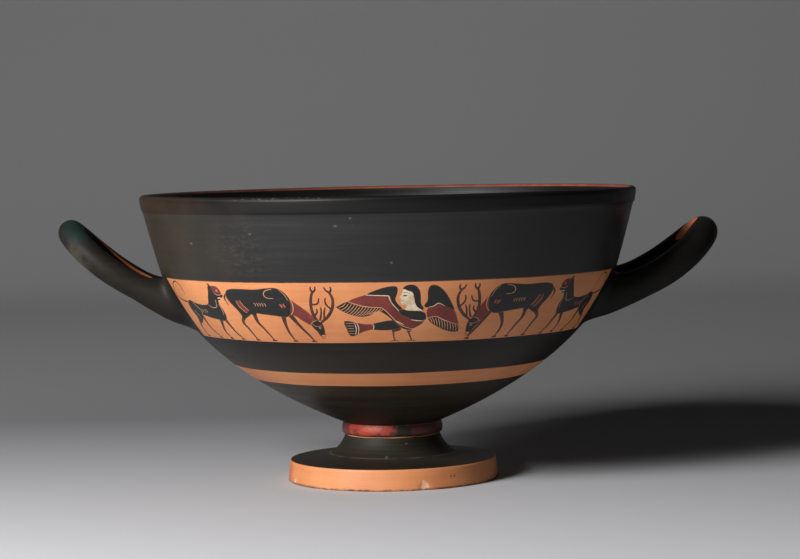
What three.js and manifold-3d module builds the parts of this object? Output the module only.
import * as THREE from "three";
import { mergeVertices } from "three/addons/utils/BufferGeometryUtils.js";
import Module from "manifold-3d";

// A footed drinking bowl of fired clay with two upswept loop handles, made as one piece.
// Millimetres, +Z up, origin at the centre of the resting plane, +X towards the right handle.

// Foot: a flat disc with an upright edge, hollowed from below, standing on a flat ring
const footRadius = 47.3;
const footEdgeHeight = 9.3;
const footEdgeTaper = 1.1;
const footChamfer = 0.6;
const restingRingWidth = 10.5;
const footHollowDepth = 19;
const footTopRise = 1.6;

// Stem: a hollow curve that leaves the foot's top and rises to the groove under the fillet
const stemSpreadRadius = 32;
const stemTurnRadius = 24.6;
const stemHeight = 9.4;
const neckRadius = 21.4;

// Fillet: the round moulding between stem and bowl
const filletHeight = 5.9;
const filletProud = 1.1;

// Bowl: a deep round lower part that turns into a steeper, slightly hollow rim wall
const bowlHeight = 67.6;
const shoulderRadius = 101.5;
const bowlSpringAngle = 22.8;
const bowlSpringPull = 63.9;
const shoulderAngle = 73;
const shoulderPull = 13.9;
const rimWallHeight = 27.4;
const rimWallFlare = 7.5;
const wallThickness = 4.6;
const floorDip = 2.2;

// Lip: a shallow bead around the outside of the mouth
const beadHeight = 7.8;
const beadProud = 0.8;
const beadLean = 0.8;
const lipRounding = 1.7;

// Handles: round rods bent into a horseshoe, their roots smoothed into the bowl
const handleRootDrop = 11.6;
const handleRootSpacing = 34;
const handleArmSpacing = 38;
const handleBendDepth = 19;
const handleCurl = 2.4;
const rootRadius = 8.7;
const rootFlareLength = 19;
const leftHandle = {
  side: -1,
  rodRadius: 5.3,
  reach: 46.0,
  tipRise: 31.1,
  rootSlope: 20,
  backArmLift: 0.6,
};
const rightHandle = {
  side: 1,
  rodRadius: 6.3,
  reach: 45.9,
  tipRise: 25.9,
  rootSlope: 14,
  backArmLift: 1.8,
};

// Smoothness of the round forms
const turnSegments = 60;
const bowlSteps = 11;
const wallSteps = 3;
const rodSides = 12;
const rodSteps = 30;

// Heights stacked from the resting plane
const stemFoot = footEdgeHeight + footTopRise;
const neckHeight = stemFoot + stemHeight;
const bowlFoot = neckHeight + filletHeight;
const shoulderHeight = bowlFoot + bowlHeight;
const beadFoot = shoulderHeight + rimWallHeight;
const overallHeight = beadFoot + beadHeight;

function at(radius, height) {
  return new THREE.Vector2(radius, height);
}

// The point reached from a start by going a distance at an angle above the horizontal
function going(start, angle, distance) {
  const turn = THREE.MathUtils.degToRad(angle);
  return at(start.x + distance * Math.cos(turn), start.y + distance * Math.sin(turn));
}

const bowlStart = at(neckRadius + filletProud, bowlFoot);
const shoulder = at(shoulderRadius, shoulderHeight);
const wallTop = at(shoulderRadius + rimWallFlare, beadFoot);

const bowlCurve = new THREE.CubicBezierCurve(
  bowlStart,
  going(bowlStart, bowlSpringAngle, bowlSpringPull),
  going(shoulder, shoulderAngle, -shoulderPull),
  shoulder,
);
const wallCurve = new THREE.QuadraticBezierCurve(
  shoulder,
  going(shoulder, shoulderAngle, rimWallHeight / 2),
  wallTop,
);

// Points of a curve moved inward, square to it, by a thickness
function offsetPoints(curve, steps, thickness) {
  return curve.getPoints(steps).map((point, index) => {
    const along = curve.getTangent(index / steps);
    return at(point.x - along.y * thickness, point.y + along.x * thickness);
  });
}

// Outline of bowl and rim wall from the fillet up, at a depth inside the outer face
function shellPoints(depth) {
  const bowl = offsetPoints(bowlCurve, bowlSteps, depth);
  const wall = offsetPoints(wallCurve, wallSteps, depth);
  return [...bowl, ...wall.slice(1)];
}

// Outer radius of the bowl at a height
function bowlRadiusAt(height) {
  const points = shellPoints(0);
  const above = points.findIndex((point) => point.y > height);
  const low = points[above - 1];
  const high = points[above];
  return THREE.MathUtils.mapLinear(height, low.y, high.y, low.x, high.x);
}

function undersidePoints() {
  const ringInside = footRadius - footChamfer - restingRingWidth;
  const hollow = new THREE.QuadraticBezierCurve(
    at(0, footHollowDepth),
    at(ringInside / 3, footHollowDepth / 2),
    at(ringInside, 0),
  );
  return hollow.getPoints(5);
}

function footPoints() {
  const edgeTop = at(footRadius - footEdgeTaper, footEdgeHeight);
  const stemStart = at(stemSpreadRadius, stemFoot);
  const steepness = (stemStart.y - edgeTop.y) / (edgeTop.x - stemStart.x);
  const stemTurn = at(stemTurnRadius, stemFoot + steepness * (stemStart.x - stemTurnRadius));
  const stem = new THREE.QuadraticBezierCurve(stemStart, stemTurn, at(neckRadius, neckHeight));
  return [
    at(footRadius - footChamfer, 0),
    at(footRadius, footChamfer),
    edgeTop,
    ...stem.getPoints(6),
  ];
}

// The fillet swells from the groove and falls back to where the bowl springs
function filletPoints() {
  const bulge = filletProud;
  return [
    at(neckRadius + bulge * 0.8, neckHeight + filletHeight * 0.2),
    at(neckRadius + bulge, neckHeight + filletHeight * 0.55),
  ];
}

function lipPoints() {
  const outside = wallTop.x + beadProud;
  const mouth = outside + beadLean;
  return [
    at(outside, beadFoot + beadProud),
    at(mouth, overallHeight - lipRounding),
    at(mouth - lipRounding * 0.3, overallHeight - lipRounding * 0.3),
    at(mouth - lipRounding, overallHeight),
    at(mouth - wallThickness * 0.75, overallHeight - lipRounding * 0.3),
  ];
}

function floorPoints() {
  const edge = shellPoints(wallThickness)[0];
  const centre = at(0, edge.y - floorDip);
  const along = bowlCurve.getTangent(0);
  const turn = at(edge.x - (floorDip * along.x) / along.y, centre.y);
  return new THREE.QuadraticBezierCurve(edge, turn, centre).getPoints(4).slice(1);
}

function turned(points) {
  const geometry = new THREE.LatheGeometry(points, turnSegments);
  geometry.rotateX(Math.PI / 2);
  return geometry;
}

function vessel() {
  return turned([
    ...undersidePoints(),
    ...footPoints(),
    ...filletPoints(),
    ...shellPoints(0),
    ...lipPoints(),
    ...shellPoints(wallThickness).reverse(),
    ...floorPoints(),
  ]);
}

// Everything inside the middle of the wall, used to trim the handle roots
function wallCore() {
  const points = shellPoints(wallThickness / 2);
  return turned([
    at(0, points[0].y),
    ...points,
    at(0, points[points.length - 1].y),
  ]);
}

// Middle line of one horseshoe handle, from inside the bowl out to the bend and back
function handlePath({ side, rodRadius, reach, tipRise, rootSlope, backArmLift }) {
  const rootHeight = shoulderHeight - handleRootDrop;
  const rootX = bowlRadiusAt(rootHeight);
  const tipX = shoulderRadius + reach - rodRadius;
  const bendX = tipX - handleBendDepth;
  const insideX = rootX - 5 * rodRadius;
  const slope = Math.tan(THREE.MathUtils.degToRad(rootSlope));
  const curlRise = tipRise - slope * (tipX - rootX);

  function heightAt(x) {
    const share = Math.max(0, (x - rootX) / (tipX - rootX));
    return rootHeight + slope * (x - rootX) + curlRise * share ** handleCurl;
  }

  function point(x, y) {
    const lift = (backArmLift * y) / handleArmSpacing;
    return new THREE.Vector3(side * x, y, heightAt(x) + lift);
  }

  const arm = [
    point(insideX, handleRootSpacing / 2),
    point(rootX, handleRootSpacing / 2),
    point((rootX + bendX) / 2, (handleRootSpacing + 2 * handleArmSpacing) / 6),
  ];
  const bend = [90, 60, 30, 0].map((angle) => {
    const turn = THREE.MathUtils.degToRad(angle);
    const x = bendX + handleBendDepth * Math.cos(turn);
    return point(x, (handleArmSpacing / 2) * Math.sin(turn));
  });
  const backHalf = [...arm, ...bend];
  const frontHalf = backHalf.slice(0, -1).reverse().map(({ x, y }) => point(side * x, -y));
  return { path: new THREE.CatmullRomCurve3([...backHalf, ...frontHalf]), rootX };
}

// Swells the rod where it runs into the bowl
function flareRoots(geometry, path, rootX, rodRadius) {
  const flare = rootRadius / rodRadius - 1;
  const centres = path.getSpacedPoints(rodSteps);
  const position = geometry.getAttribute("position");
  const vertex = new THREE.Vector3();
  for (let index = 0; index < position.count; index += 1) {
    vertex.fromBufferAttribute(position, index);
    const nearest = centres.reduce((best, centre) =>
      (centre.distanceTo(vertex) < best.distanceTo(vertex) ? centre : best));
    const closeness = 1 - (Math.abs(nearest.x) - rootX) / rootFlareLength;
    const share = THREE.MathUtils.clamp(closeness, 0, 1);
    vertex.sub(nearest).multiplyScalar(1 + flare * share * share).add(nearest);
    position.setXYZ(index, vertex.x, vertex.y, vertex.z);
  }
}

function handle(shape) {
  const { path, rootX } = handlePath(shape);
  const section = new THREE.Shape();
  section.absarc(0, 0, shape.rodRadius, 0, 2 * Math.PI);
  const geometry = new THREE.ExtrudeGeometry(section, {
    steps: rodSteps,
    curveSegments: rodSides / 2,
    bevelEnabled: false,
    extrudePath: path,
  });
  flareRoots(geometry, path, rootX, shape.rodRadius);
  return geometry;
}

const wasm = await Module();
wasm.setup();

// A closed solid from a geometry, its shared corners merged and slivers without area left out
function toSolid(geometry) {
  geometry.deleteAttribute("normal");
  geometry.deleteAttribute("uv");
  const merged = mergeVertices(geometry);
  const triangles = [];
  const index = merged.getIndex().array;
  for (let first = 0; first < index.length; first += 3) {
    const [a, b, c] = index.slice(first, first + 3);
    if (a !== b && b !== c && c !== a) {
      triangles.push(a, b, c);
    }
  }
  return new wasm.Manifold(new wasm.Mesh({
    numProp: 3,
    vertProperties: new Float32Array(merged.getAttribute("position").array),
    triVerts: new Uint32Array(triangles),
  }));
}

function toGeometry(solid) {
  const mesh = solid.getMesh();
  const geometry = new THREE.BufferGeometry();
  geometry.setAttribute("position", new THREE.BufferAttribute(mesh.vertProperties, 3));
  geometry.setIndex(new THREE.BufferAttribute(mesh.triVerts, 1));
  geometry.computeVertexNormals();
  return geometry;
}

function skyphos() {
  const core = toSolid(wallCore());
  const left = toSolid(handle(leftHandle)).subtract(core);
  const right = toSolid(handle(rightHandle)).subtract(core);
  const solid = toSolid(vessel()).add(left).add(right);
  const gloss = new THREE.MeshStandardMaterial({ color: 0x2b2724, roughness: 0.38, metalness: 0 });
  const mesh = new THREE.Mesh(toGeometry(solid), gloss);
  mesh.name = "skyphos";
  return mesh;
}

const model = new THREE.Group();
model.add(skyphos());

export default model;
